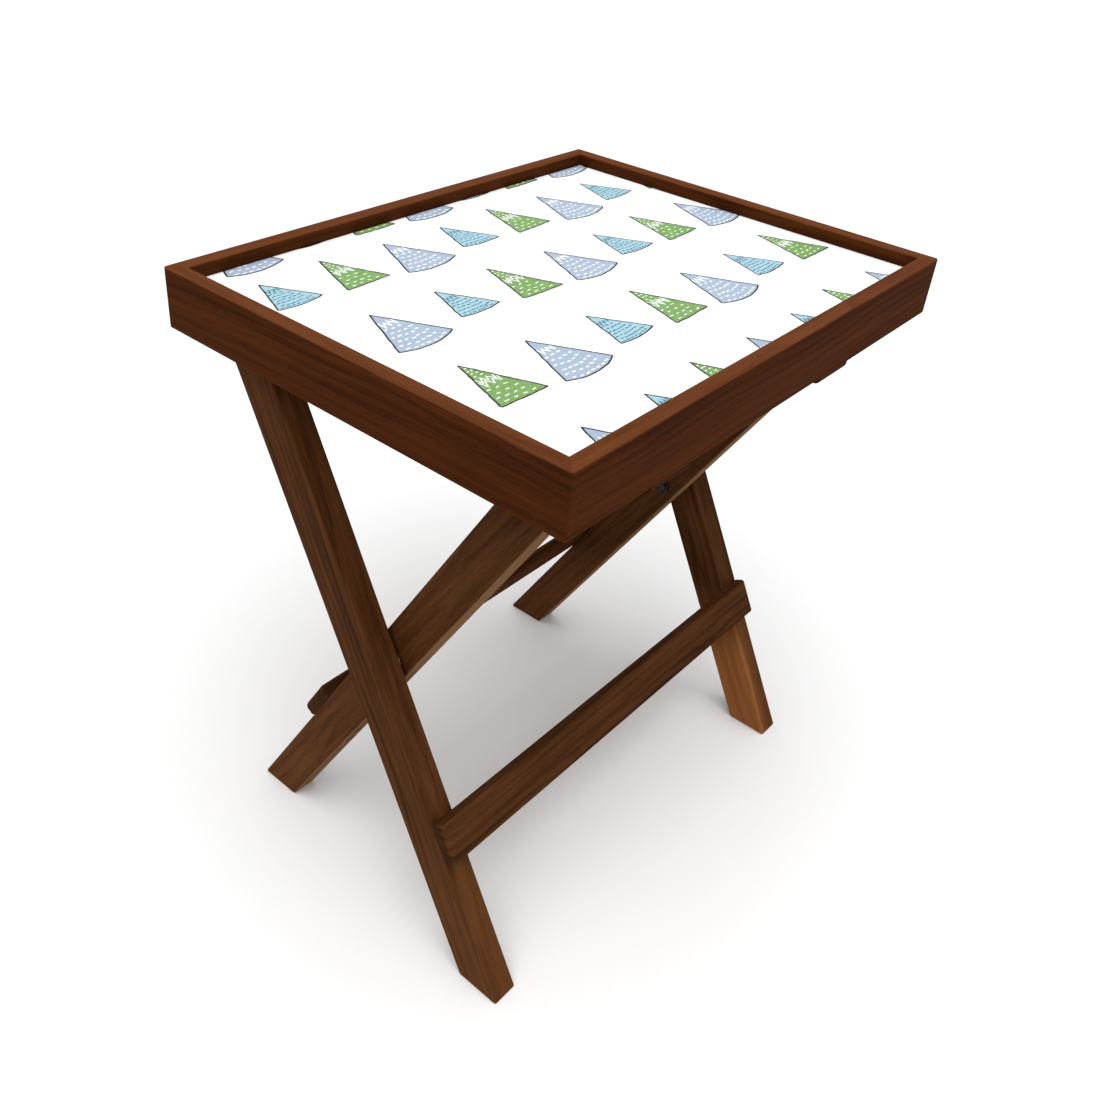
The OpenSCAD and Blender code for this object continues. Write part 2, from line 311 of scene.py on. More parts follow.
class Graph:
    """Short calls that add shader nodes. Each argument may be a value or another socket."""

    def __init__(self, tree):
        self.tree = tree

    def give(self, socket, value):
        if isinstance(value, bpy.types.NodeSocket):
            self.tree.links.new(value, socket)
        else:
            socket.default_value = value

    def add(self, kind, inputs=None, **settings):
        node = self.tree.nodes.new("ShaderNode" + kind)
        for name, value in settings.items():
            setattr(node, name, value)
        for name, value in (inputs or {}).items():
            self.give(node.inputs[name], value)
        return node

    def math(self, operation, *values):
        node = self.add("Math", operation=operation)
        for socket, value in zip(node.inputs, values):
            self.give(socket, value)
        return node.outputs[0]

    def vector(self, operation, *values):
        node = self.add("VectorMath", operation=operation)
        for socket, value in zip(node.inputs, values):
            self.give(socket, value)
        number = operation in ("LENGTH", "DOT_PRODUCT")
        return node.outputs["Value" if number else "Vector"]

    def total(self, *terms):
        """The sum of (share, value) terms, each value taken about 0.5."""
        result = 0.5
        for share, value in terms:
            result = self.math("MULTIPLY_ADD", self.math("SUBTRACT", value, 0.5), share, result)
        return result

    def attribute(self, name):
        return self.add("Attribute", attribute_name=name).outputs["Vector"]

    def object_mm(self, stretch=(1, 1, 1)):
        """The place on the object in mm, stretched."""
        scale = tuple(s / MM for s in stretch)
        return self.vector("MULTIPLY", self.add("TexCoord").outputs["Object"], scale)

    def noise(self, place, stretch, detail=2.0, roughness=0.5):
        place = self.vector("MULTIPLY", place, stretch)
        settings = {"Vector": place, "Scale": 1.0, "Detail": detail, "Roughness": roughness}
        return self.add("TexNoise", settings).outputs["Fac"]

    def between(self, value, low, high, at_low=0.0, at_high=1.0):
        node = self.add("MapRange", {"Value": value, "From Min": low, "From Max": high,
                                     "To Min": at_low, "To Max": at_high},
                        interpolation_type="SMOOTHSTEP")
        return node.outputs["Result"]

    def mix(self, factor, first, second, blend="MIX"):
        node = self.add("Mix", data_type="RGBA", blend_type=blend)
        self.give(node.inputs[0], factor)
        self.give(node.inputs[6], first)
        self.give(node.inputs[7], second)
        return node.outputs[2]

    def ramp(self, value, *stops):
        node = self.add("ValToRGB", {"Fac": value})
        elements = node.color_ramp.elements
        while len(elements) < len(stops):
            elements.new(0.5)
        for element, (place, colour) in zip(elements, stops):
            element.position, element.color = place, colour
        return node.outputs["Color"]


def linear(red, green, blue):
    """A colour given in 8-bit sRGB steps, as linear numbers."""
    def channel(step):
        share = step / 255
        return share / 12.92 if share <= 0.04045 else ((share + 0.055) / 1.055) ** 2.4
    return (channel(red), channel(green), channel(blue), 1.0)


def new_material(name, **constants):
    """A material with its Principled shader; constants go straight on the shader's sockets."""
    material = bpy.data.materials.new(name)
    material.use_nodes = True
    shader = material.node_tree.nodes["Principled BSDF"]
    for key, value in constants.items():
        shader.inputs[key.replace("_", " ").title().replace("Ior", "IOR")].default_value = value
    return material, Graph(material.node_tree), shader


def surface(graph, shader, colour, roughness, height, depth):
    """Joins a pattern's colour, roughness and height to the shader; depth is in metres."""
    bump = graph.add("Bump", {"Height": height, "Distance": depth, "Strength": 1.0})
    graph.give(shader.inputs["Base Color"], colour)
    graph.give(shader.inputs["Roughness"], roughness)
    graph.give(shader.inputs["Normal"], bump.outputs["Normal"])


# Painted floor light: the inner legs' lower narrow faces are lifted towards this colour
PAINTED_UNDERSIDE_COLOUR = linear(132, 98, 68)
# Painted floor light: the lower legs are lifted towards this colour
PAINTED_FOOT_COLOUR = linear(150, 95, 52)
# How far the growth rings wander, in mm, and the most that the painted floor light on a foot lifts
# the wood's tone
RING_DRIFT = 20.0
PAINTED_FOOT_LIFT = 0.25
# Where the painted lighter foot begins, as shares of the board's half length from its middle
FOOT_LOW, FOOT_HIGH = -0.75, -0.35


def stained_wood(name, dark, middle_tone, light, worn_and_lit, ring_mm=6.0, rim_wear_and_light=0.0):
    """Dark stained hardwood: growth rings, long streaks, fibres and open pores under lacquer.

    rim_wear_and_light is how far the board's top and upper edge are lifted towards the edge
    colour: partly real rubbing, partly painted light where the top faces the light."""
    material, graph, shader = new_material(name, specular_ior_level=0.0, coat_weight=0.05,
                                           coat_roughness=0.34)
    in_log, in_board = graph.attribute("in_log"), graph.attribute("in_board")
    half, along = graph.attribute("board_half"), graph.attribute("board_along")
    board_at = graph.add("SeparateXYZ", {"Vector": in_board}).outputs
    half_at = graph.add("SeparateXYZ", {"Vector": half}).outputs
    painted_board_light = graph.add("SeparateXYZ", {"Vector": graph.attribute("painted_board_light")}).outputs
    foot_tone, pale_edge = painted_board_light["Y"], painted_board_light["Z"]

    drift = graph.noise(in_log, (0.006, 0.02, 0.02), detail=2.5)
    radius = graph.vector("LENGTH", graph.vector("MULTIPLY", in_log, (0, 1, 1)))
    phase = graph.math("DIVIDE", graph.math("MULTIPLY_ADD", drift, RING_DRIFT, radius), ring_mm)
    ring = graph.math("FRACT", phase)
    late_wood = graph.math("MULTIPLY", graph.between(ring, 0.25, 0.88),
                           graph.between(ring, 0.9, 1.0, 1.0, 0.0))
    rings_show = graph.between(graph.noise(in_log, (0.003, 0.06, 0.06), detail=1), 0.4, 0.62,
                               0.35, 1.0)
    late_wood = graph.math("MULTIPLY", late_wood, rings_show)

    streak = graph.noise(in_log, (0.004, 0.2, 0.2), detail=4, roughness=0.6)
    band = graph.noise(in_log, (0.003, 0.045, 0.045), detail=2)
    fibre = graph.noise(in_log, (0.018, 1.4, 1.4), detail=5, roughness=0.7)
    mottle = graph.noise(in_log, (0.016, 0.06, 0.06), detail=3)
    pore = graph.between(graph.noise(in_log, (0.09, 2.9, 2.9), detail=1), 0.60, 0.72)

    tone = graph.total((0.2, mottle), (0.6, streak), (0.4, band), (0.6, fibre),
                       (-0.17, late_wood), (-0.14, pore))
    # Painted floor light: the board's lower end is lifted lighter
    foot = graph.between(graph.math("DIVIDE", board_at["X"], half_at["X"]), FOOT_LOW, FOOT_HIGH,
                         foot_tone, 0.0)
    shade = graph.ramp(tone, (0.2, (0.55, 0.5, 0.48, 1)), (0.8, (1, 1, 1, 1)))
    # The painted floor light also lifts the wood's tone at the foot
    tone = graph.math("ADD", tone, graph.math("MINIMUM", foot, PAINTED_FOOT_LIFT))
    colour = graph.ramp(tone, (0.12, dark), (0.46, middle_tone), (0.88, light))

    # Along the long edges the colour is lifted: partly real rubbing, partly a painted highlight on
    # the arrises
    edge = graph.vector("SUBTRACT", half, graph.vector("ABSOLUTE", in_board))
    parts = graph.add("SeparateXYZ", {"Vector": edge}).outputs
    nearest = graph.math("MAXIMUM", parts["Y"], parts["Z"])
    edge_rub_and_sheen = graph.math("MULTIPLY_ADD", graph.noise(in_log, (0.05, 0.25, 0.25), detail=3), -4.0,
                        graph.math("ADD", nearest, 2.2))
    wear_and_sheen = graph.between(edge_rub_and_sheen, -0.2, 1.6, 0.5, 0.0)
    # The rim's top is lifted too: partly real rubbing, partly painted light where the top faces
    # the light
    if rim_wear_and_light:
        rim_wear_and_top_light = graph.between(graph.math("SUBTRACT", half_at["Y"], board_at["Y"]), 0.2, 1.3,
                               rim_wear_and_light, 0.0)
        wear_and_sheen = graph.math("MAXIMUM", wear_and_sheen, rim_wear_and_top_light)
    # Painted floor light: the lower narrow face picked by the sign is lifted paler
    painted_underside = graph.math("MULTIPLY", graph.math("SIGN", pale_edge), board_at["Y"])
    painted_underside = graph.between(graph.math("SUBTRACT", half_at["Y"], painted_underside), 0.15, 0.9,
                              graph.math("ABSOLUTE", pale_edge), 0.0)
    # Painted floor light on one broad face of a foot
    painted_foot_face = graph.between(graph.math("DIVIDE", board_at["Z"], half_at["Z"]), -0.95, 0.1,
                                 graph.between(foot, 0.35, 1.0), 0.0)
    colour = graph.mix(painted_foot_face, colour, graph.mix(1.0, PAINTED_FOOT_COLOUR, shade, blend="MULTIPLY"))
    # Real rubbing and painted highlight lift the edges and the rim towards their colour
    colour = graph.mix(wear_and_sheen, colour, graph.mix(1.0, worn_and_lit, shade, blend="MULTIPLY"))
    colour = graph.mix(painted_underside, colour, graph.mix(1.0, PAINTED_UNDERSIDE_COLOUR, shade, blend="MULTIPLY"))

    facing = graph.vector("DOT_PRODUCT", graph.add("TexCoord").outputs["Normal"], along)
    end_grain = graph.between(graph.math("ABSOLUTE", facing), 0.7, 0.97, 0.0, 0.45)
    colour = graph.mix(end_grain, colour, dark)

    roughness = graph.total((0.22, fibre), (0.12, mottle), (0.16, late_wood), (0.2, pore))
    roughness = graph.math("SUBTRACT", roughness, 0.07)
    height = graph.total((0.5, fibre), (0.25, late_wood), (-0.7, pore))
    surface(graph, shader, colour, roughness, height, 0.07 * MM)
    return material


def raw_wood(name, dark, light):
    """Pale unstained wood for the hidden splines, whose grain runs up."""
    material, graph, shader = new_material(name, specular_ior_level=0.3)
    place = graph.object_mm((1, 1, 0.06))
    grain = graph.noise(place, (0.8, 0.8, 0.8), detail=5, roughness=0.65)
    fleck = graph.noise(place, (3.0, 0.9, 3.0), detail=2)
    tone = graph.total((1.2, grain), (0.6, fleck))
    surface(graph, shader, graph.ramp(tone, (0.2, dark), (0.8, light)),
            graph.total((0.3, grain)), tone, 0.05 * MM)
    return material


def fibre_board(name, dark, light):
    """Raw fibre board: short felted fibres and a faint pressed mottle."""
    material, graph, shader = new_material(name, specular_ior_level=0.25)
    place = graph.object_mm()
    felt = graph.noise(place, (1.9, 1.9, 1.9), detail=6, roughness=0.75)
    chips = graph.noise(place, (0.45, 0.7, 0.6), detail=4)
    mottle = graph.noise(place, (0.03, 0.03, 0.03), detail=3)
    tone = graph.total((1.0, felt), (0.6, chips), (0.5, mottle))
    surface(graph, shader, graph.ramp(tone, (0.2, dark), (0.8, light)),
            graph.total((0.25, felt), (0.2, mottle)), felt, 0.12 * MM)
    return material


def laminate_ink(name, colour, unevenness):
    """One ink under the satin laminate: faintly uneven cover and the laminate's fine texture."""
    material, graph, shader = new_material(name, specular_ior_level=0.2, coat_weight=0.06,
                                           coat_roughness=0.3)
    place = graph.object_mm()
    cover = graph.noise(place, (0.35, 0.35, 0.35), detail=5, roughness=0.65)
    grit = graph.noise(place, (1.6, 1.6, 1.6), detail=3, roughness=0.6)
    thin = tuple(min(1.0, c + (1.0 - c) * unevenness) for c in colour[:3]) + (1.0,)
    deep = tuple(c * (1.0 - unevenness) for c in colour[:3]) + (1.0,)
    tone = graph.total((1.2, cover), (0.5, grit))
    surface(graph, shader, graph.ramp(tone, (0.25, deep), (0.5, colour), (0.75, thin)),
            graph.total((0.18, cover), (0.14, grit)), grit, 0.012 * MM)
    return material


def plated_metal(name, dark, light, base_roughness, scratch_mm):
    """Plated metal with fine turning marks and dulled patches."""
    material, graph, shader = new_material(name, metallic=1.0)
    place = graph.object_mm()
    patch = graph.noise(place, (0.5, 0.5, 0.5), detail=4, roughness=0.6)
    marks = graph.noise(place, (1 / scratch_mm, 1.0, 1.0), detail=3)
    spangle = graph.noise(place, (2.3, 2.3, 2.3), detail=2)
    tone = graph.total((1.0, patch), (0.4, spangle))
    roughness = graph.total((0.35, patch), (0.2, marks))
    roughness = graph.math("ADD", roughness, base_roughness - 0.5)
    surface(graph, shader, graph.ramp(tone, (0.2, dark), (0.8, light)), roughness, marks,
            0.015 * MM)
    return material


def moulded_nylon(name, colour):
    material, graph, shader = new_material(name, specular_ior_level=0.45,
                                           subsurface_weight=0.08)
    place = graph.object_mm()
    cloud = graph.noise(place, (0.4, 0.4, 0.4), detail=3)
    grain = graph.noise(place, (4.0, 4.0, 4.0), detail=2)
    shade = tuple(c * 0.86 for c in colour[:3]) + (1.0,)
    surface(graph, shader, graph.ramp(cloud, (0.3, shade), (0.7, colour)),
            graph.total((0.2, cloud), (0.15, grain)), grain, 0.02 * MM)
    return material


TRAY_WOOD = stained_wood("tray_walnut", linear(36, 13, 2), linear(57, 25, 5),
                         linear(82, 41, 13), linear(123, 73, 43), ring_mm=5.5, rim_wear_and_light=0.6)
LEG_WOOD = stained_wood("leg_walnut", linear(34, 16, 6), linear(57, 32, 14),
                        linear(94, 57, 29), linear(112, 64, 33))
SPLINE_WOOD = raw_wood("spline_beech", linear(170, 126, 84), linear(222, 184, 135))
BOARD = fibre_board("panel_fibre_board", linear(128, 96, 66), linear(176, 142, 106))
SCREW_STEEL = plated_metal("screw_zinc", (0.34, 0.31, 0.24, 1), (0.66, 0.62, 0.5, 1), 0.36, 0.3)
BOLT_STEEL = plated_metal("bolt_black_zinc", (0.014, 0.013, 0.012, 1), (0.045, 0.043, 0.04, 1),
                          0.36, 0.25)
BRASS = plated_metal("insert_brass", (0.45, 0.31, 0.1, 1), (0.8, 0.6, 0.28, 1), 0.34, 0.4)
NYLON = moulded_nylon("washer_nylon", linear(222, 220, 210))

INKS = {
    "paper": laminate_ink("print_paper", linear(247, 248, 247), 0.02),
    "leaf": laminate_ink("print_leaf", linear(118, 160, 86), 0.10),
    "slate": laminate_ink("print_slate", linear(163, 179, 200), 0.06),
    "aqua": laminate_ink("print_aqua", linear(160, 199, 213), 0.06),
    "teal": laminate_ink("print_teal", linear(44, 104, 122), 0.10),
    "chalk": laminate_ink("print_chalk", linear(246, 248, 246), 0.02),
    "line": laminate_ink("print_line", linear(34, 41, 48), 0.12),
}


# ---- Screws ----

HEAD_HEIGHT = 2.6 * MM
HEAD_TO_SHANK = 1.9
TAPER_FROM, TIP_FROM = 3.6 * MM, 1.2 * MM
RECESS_HALF = Vector((1.9, 1.75, 0.32)) * MM
RECESS_TAPER = 0.45
FIRST_SPIN, NEXT_SPIN = 17, 47


def screw_sizes(node, towards):
    """The middle of each screw head's top, the head's radius and the screw's length, where
    towards points out of the head."""
    heads = []
    for group in islands(node):
        heights = [p.dot(towards) for p in group]
        rim = [p for p, h in zip(group, heights) if h > max(heights) - 0.1 * MM]
        heads.append((min(p.x for p in rim) + max(p.x for p in rim)) / 2 * X
                     + sum((p - X * p.x for p in rim), Vector()) / len(rim))
    radius = max(p.x for p in group) - heads[-1].x
    return heads, radius, max(heights) - min(heights)


def countersunk_screws(name, node, towards, body):
    """Countersunk screws with a cross recess, each as long and wide as the CAD's."""
    heads, head, length = screw_sizes(node, towards)
    shank = head / HEAD_TO_SHANK
    profile = [(0, 0), (-0.25 * MM, head * 0.55), (-0.5 * MM, head * 0.97), (-0.62 * MM, head),
               (-0.9 * MM, head * 0.99), (-HEAD_HEIGHT, shank), (-length + TAPER_FROM, shank),
               (-length + TIP_FROM, shank * 0.5), (-length, 0)]
    turn = towards.to_track_quat("X", "Z").to_matrix().to_4x4()
    whole = bmesh.new()
    for number, place in enumerate(heads):
        spin = Matrix.Rotation(math.radians(FIRST_SPIN + NEXT_SPIN * number), 4, "X")
        screw = new_piece("screw", mesh_of(turned(profile, Vector(), 40), "screw"))
        recess = []
        for quarter in range(2):
            above_head = Vector((1 * MM, RECESS_HALF.y, RECESS_HALF.z))
            blade = box_between(-RECESS_HALF, above_head)
            for vert in blade.verts:
                if vert.co.x < 0:
                    vert.co.y *= RECESS_TAPER
            bmesh.ops.rotate(blade, verts=blade.verts, cent=(0, 0, 0),
                             matrix=Matrix.Rotation(quarter * math.pi / 2, 3, "X"))
            recess.append(blade)
        carve(screw, recess)
        screw.data.transform(Matrix.Translation(place) @ turn @ spin)
        whole.from_mesh(screw.data)
        bpy.data.meshes.remove(screw.data)
    piece = new_piece(name, mesh_of(whole, name))
    piece.data.materials.append(SCREW_STEEL)
    smooth(piece)
    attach(piece, body)
    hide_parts(node)


def counterbores(node, towards):
    """The wide holes that lead down to each screw's head from the board's face."""
    heads, radius, _ = screw_sizes(node, towards)
    return [cylinder(head - towards * SNUG, towards, radius + COUNTERBORE_PLAY,
                     COUNTERBORE_DEPTH)
            for head in heads]


# ---- Tray ----

def wall_outline(length, thick):
    """Plan of a mitred wall: its outer face along 0, its ends rounded into the tray's corner."""
    half = length / 2
    round_x = half - TRAY_CORNER
    right = [(x - MITRE_GAP, d) for x, d in arc((round_x, TRAY_CORNER), TRAY_CORNER, -90, -45, 4)]
    right.append((half - thick - MITRE_GAP, thick))
    return right + [(-x, d) for x, d in reversed(right)]


def tray_wall(name, along, outward, seed, cutters=()):
    """A wall of the tray: along it runs one of the long directions, outward it faces."""
    low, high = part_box(name)
    size = high - low
    length = 2 * TRAY_HALF.dot(Vector(map(abs, along)))
    thick = size.dot(Vector(map(abs, outward)))
    outer_face = middle(name) + outward * thick / 2
    outer_face.z = low.z
    bm = prism(wall_outline(length, thick), outer_face, along, -outward, Z, 0, size.z)

    def at_mitre(edge):
        return any(0.6 < abs(face.normal.dot(along)) < 0.8
                   and abs(face.normal.dot(outward)) > 0.6
                   and face.calc_area() > 0.5 * thick * size.z for face in edge.link_faces)

    soften(bm, WALL_ARRIS, at_mitre)
    piece = new_piece("visual_" + name, mesh_of(bm, name))
    panel_low, sheet_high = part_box("tray_panel")[0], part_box("printed_sheet")[1]
    carve(piece, [box_between(panel_low - GROOVE_PLAY, sheet_high + GROOVE_PLAY), *cutters])
    finish_board(piece, TRAY_WOOD, "tray", "tray_wood", name, along, Z, seed)


def rest_block(side, seed):
    """The notched block behind the front wall, with its stop in front of the top rail."""
    name = side + "_rest_block"
    low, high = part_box(name)
    stop_y = RAIL.y - RAIL_RADIUS - RAIL_PLAY
    pad_z = RAIL.z + RAIL_RADIUS + RAIL_PLAY
    outline = [(low.y, high.z)]
    outline += arc((low.y + BLOCK_CORNER, low.z + BLOCK_CORNER), BLOCK_CORNER, 180, 270, 6)
    outline += [(stop_y - STOP_CHAMFER, low.z), (stop_y, low.z + STOP_CHAMFER), (stop_y, pad_z),
                (high.y, pad_z), (high.y, high.z)]
    bm = prism(outline, Vector(), Y, Z, X, low.x, high.x)
    soften(bm, BLOCK_ARRIS, lambda edge: all(v.co.z > high.z - WELD for v in edge.verts)
           or all(v.co.y < low.y + WELD for v in edge.verts))
    piece = new_piece("visual_" + name, mesh_of(bm, name))
    carve(piece, [grown_copy("rest_block_screws", SNUG)])
    finish_board(piece, TRAY_WOOD, "tray", "tray_wood", name, X, Z, seed)


# ---- Printed sheet ----

# Each motif: height, base's left and right ends and lift of the apex, all in mm, the base's
# bulge, the inks of its fill and its marks, and how far the fill strays past the outline.
# tip, zigzags and rows say how far down from the apex the small dashes, the zigzags and the rows
# of dashes are, as shares of the height; gap is the dashes' spacing and wide their width
MOTIFS = {
    "green": dict(height=45, left=-16, right=18, lift=4, bulge=0.4, fill="leaf", marks="chalk",
                  ragged=1.1, tip=(0.11, 0.18, 0.25, 0.32), zigzags=(0.38, 0.455),
                  rows=(0.64, 0.74, 0.84, 0.93), gap=7.5, wide=0.85),
    "grey": dict(height=44, left=-20, right=22, lift=0, bulge=5.0, fill="slate", marks="chalk",
                 ragged=0.15, tip=(), zigzags=(0.27,), rows=(0.45, 0.55, 0.65, 0.76, 0.86, 0.95),
                 gap=5.8, wide=1.15),
    "cyan": dict(height=35, left=-13.5, right=19, lift=-1, bulge=2.0, fill="aqua", marks="teal",
                 ragged=0.15, tip=(), zigzags=(0.28,),
                 rows=(0.44, 0.53, 0.62, 0.7, 0.79, 0.88, 0.95), gap=4.4, wide=0.9),
}
MOTIF_ORDER = ["cyan", "green", "grey"]
# Rows of motifs: the apexes' place along Y and the first apex's along X, in mm, and its kind
MOTIF_ROWS = [(176, -139.5, "grey"), (112, -153.5, "cyan"), (39, -133, "grey"),
              (-39.5, -142, "green"), (-118, -144.5, "grey")]
MOTIFS_IN_ROW = 8
MOTIF_PITCH = 49.6
PRINT_SEED = 31
OUTLINE_WIDE = 1.15
# A fill that strays further than RAGGED, in mm, is drawn with more points a side
RAGGED = 0.5
RAGGED_STEPS, CALM_STEPS = 24, 8
# Zigzags: their depth as a share of the motif's height, their teeth and how wide they reach
ZIGZAG_DEEP = 0.11
ZIGZAG_TEETH = 6
ZIGZAG_REACH = 0.86
# Dashes: how far they reach across, their length and tilt (in radians), and those at the tip
ROW_REACH = 0.82
DASH_LONG, DASH_TILT = (2.2, 3.3), 0.16
TIP_DASH_LONG, TIP_DASH_TILT = 1.7, 0.3
PAINT_ORDER = ["paper", "leaf", "slate", "aqua", "chalk", "teal", "line"]


def ribbon(points, width):
    """A closed outline round a line of points, with mitred turns."""
    sides = ([], [])
    for i, point in enumerate(points):
        before = (point - points[i - 1]).normalized() if i else None
        after = (points[i + 1] - point).normalized() if i + 1 < len(points) else None
        way = ((before or after) + (after or before)).normalized()
        lean = max(0.35, way.dot(after or before))
        across = Vector((-way.y, way.x)) * width / 2 / lean
        sides[0].append(point + across)
        sides[1].append(point - across)
    return sides[0] + sides[1][::-1]


def wobbly_line(start, end, rng, steps=9, sway=0.28, bulge=0.0):
    """A hand-drawn line, bowed downwards by bulge."""
    points = []
    for i in range(steps + 1):
        share = i / steps
        point = start.lerp(end, share) + Vector((0, -4 * bulge * share * (1 - share)))
        points.append(point + Vector((rng.uniform(-sway, sway), rng.uniform(-sway, sway))))
    return points


def motif_shapes(kind, x, y, rng):
    """The painted shapes of one motif, as (ink, outline) pairs in mm."""
    style = MOTIFS[kind]
    apex = Vector((x + rng.uniform(-1, 1), y + style["lift"] + rng.uniform(-1, 1)))
    left = apex + Vector((style["left"], -style["height"] + rng.uniform(-0.8, 0.8)))
    right = apex + Vector((style["right"], -style["height"] + rng.uniform(-0.8, 2.0)))
    bulge = style["bulge"]
    shapes = []

    ragged = style["ragged"]
    steps = RAGGED_STEPS if ragged > RAGGED else CALM_STEPS
    fill = []
    for start, end, out in ((apex, left, -1), (right, apex, 1)):
        normal = Vector((out * style["height"], 14)).normalized()
        fill.append([start.lerp(end, i / steps) + normal * rng.uniform(-0.3, 1) * ragged
                     for i in range(1, steps)])
    base = wobbly_line(left, right, rng, steps=8, sway=0.1, bulge=bulge)
    shapes.append((style["fill"], [apex, *fill[0], *base, *fill[1]]))

    def inside(down, over):
        """A point at a share of the way down from the apex and across from -1 to 1."""
        a, b = apex.lerp(left, down), apex.lerp(right, down)
        sag = -4 * bulge * down * down * (0.25 - (over / 2) ** 2)
        return a.lerp(b, (over + 1) / 2) + Vector((0, sag))

    def mark(down, over, length, tilt):
        middle_point = inside(down, over)
        way = Vector((math.cos(tilt), math.sin(tilt))) * length / 2
        shapes.append((style["marks"], ribbon([middle_point - way, middle_point + way],
                                              style["wide"] * rng.uniform(0.8, 1.15))))

    for down in style["zigzags"]:
        line = [inside(down + (ZIGZAG_DEEP if i % 2 else 0) + rng.uniform(-0.02, 0.02),
                       ZIGZAG_REACH * (2 * i / ZIGZAG_TEETH - 1))
                for i in range(ZIGZAG_TEETH + 1)]
        shapes.append((style["marks"], ribbon(line, style["wide"] * 0.9)))
    for down in style["tip"]:
        for over in ((-0.4, 0.4) if down > 0.15 else (0.0,)):
            mark(down, over + rng.uniform(-0.1, 0.1), TIP_DASH_LONG,
                 rng.uniform(-TIP_DASH_TILT, TIP_DASH_TILT))
    for row, down in enumerate(style["rows"]):
        count = max(2, round((right - left).length * down / style["gap"]))
        for i in range(count):
            over = ROW_REACH * (2 * (i + (0.5 if row % 2 else 0.1)) / count - 1)
            mark(down + rng.uniform(-0.012, 0.012), over, rng.uniform(*DASH_LONG),
                 rng.uniform(-DASH_TILT, DASH_TILT))

    for start, end, bow in ((apex, left, 0), (apex, right, 0), (left, right, bulge)):
        shapes.append(("line", ribbon(wobbly_line(start, end, rng, bulge=bow), OUTLINE_WIDE)))
    return shapes


def counter_clockwise(outline):
    """The outline, turned round if it runs clockwise."""
    area = sum(a.x * b.y - b.x * a.y for a, b in zip(outline, outline[1:] + outline[:1]))
    return outline if area > 0 else outline[::-1]


def printed_sheet():
    """The laminate sheet, its top face split into the printed regions, one material an ink."""
    low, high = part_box("printed_sheet")
    edge = Vector((high.x, high.y)) / MM
    corners = [(-1, -1), (1, -1), (1, 1), (-1, 1)]
    shapes = [("paper", [Vector((edge.x * a, edge.y * b)) for a, b in corners])]
    rng = random.Random(PRINT_SEED)
    for y, first_x, first_kind in MOTIF_ROWS:
        start = MOTIF_ORDER.index(first_kind)
        for column in range(MOTIFS_IN_ROW):
            kind = MOTIF_ORDER[(start + column) % len(MOTIF_ORDER)]
            shapes += motif_shapes(kind, first_x + column * MOTIF_PITCH, y, rng)

    points, faces = [], []
    for ink, outline in shapes:
        faces.append(range(len(points), len(points) + len(outline)))
        points += counter_clockwise(outline)
    cut = delaunay_2d_cdt(points, [], [list(f) for f in faces], 1, 1e-5)
    verts, triangles, sources = cut[0], cut[2], cut[5]

    # The top face: only what lies on the paper, each triangle in its uppermost ink
    bm = bmesh.new()
    top = [bm.verts.new((p.x * MM, p.y * MM, high.z)) for p in verts]
    for triangle, found in zip(triangles, sources):
        if 0 not in found:
            continue
        face = bm.faces.new([top[i] for i in triangle])
        face.material_index = max(PAINT_ORDER.index(shapes[i][0]) for i in found)
    bmesh.ops.delete(bm, geom=[v for v in bm.verts if not v.link_faces], context="VERTS")

    # The sides and the underside, all in paper
    rim = [e for e in bm.edges if e.is_boundary]
    made = bmesh.ops.extrude_edge_only(bm, edges=rim)["geom"]
    lowered = {v for v in made if isinstance(v, bmesh.types.BMVert)}
    for vert in lowered:
        vert.co.z = low.z
    bmesh.ops.contextual_create(bm, geom=[e for e in made if isinstance(e, bmesh.types.BMEdge)
                                          and all(v in lowered for v in e.verts)])
    for face in bm.faces:
        if face.normal.z < 0.5 and len(face.verts) != 3:
            face.material_index = PAINT_ORDER.index("paper")
    piece = new_piece("visual_printed_sheet", mesh_of(bm, "printed_sheet"))
    for ink in PAINT_ORDER:
        piece.data.materials.append(INKS[ink])
    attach(piece, "tray")
    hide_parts("printed_sheet")


# ---- Leg frames ----

# How much lighter the feet are painted, as painted floor light on the lower legs
LEFT_FOOT_LIGHT, RIGHT_FOOT_LIGHT, INNER_FOOT_LIGHT = 0.2, 0.9, 0.15
# How much paler the inner legs' lower narrow faces are painted, as painted floor light; the sign
# picks the side
INNER_UNDERSIDE_LIGHT = 0.9
# How far a rail's pith is from its middle, in mm
RAIL_PITH = ((10, 20), (10, 25))


def leg(name, top, along, body, seed, cutters, foot_tone=0.0, pale_edge=0.0):
    """A leg board: a round top, a level foot and softened edges all round."""
    low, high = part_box(name)
    across = X.cross(along)
    drop = -top.z / along.z
    outline = arc((0, 0), LEG_HALF_WIDE, 0, 180, 18)
    for side in (-1, 1):
        edge_drop = drop - side * LEG_HALF_WIDE * across.z / along.z
        outline.append((side * LEG_HALF_WIDE, edge_drop))
    place = Vector((0, top.y, top.z))
    bm = prism(outline, place, across, along, X, low.x, high.x)
    soften(bm, LEG_ARRIS)
    piece = new_piece("visual_" + name, mesh_of(bm, name))
    carve(piece, cutters)
    finish_board(piece, LEG_WOOD, body, "leg_wood", name, along, across, seed,
                 foot_tone=foot_tone, pale_edge=pale_edge)


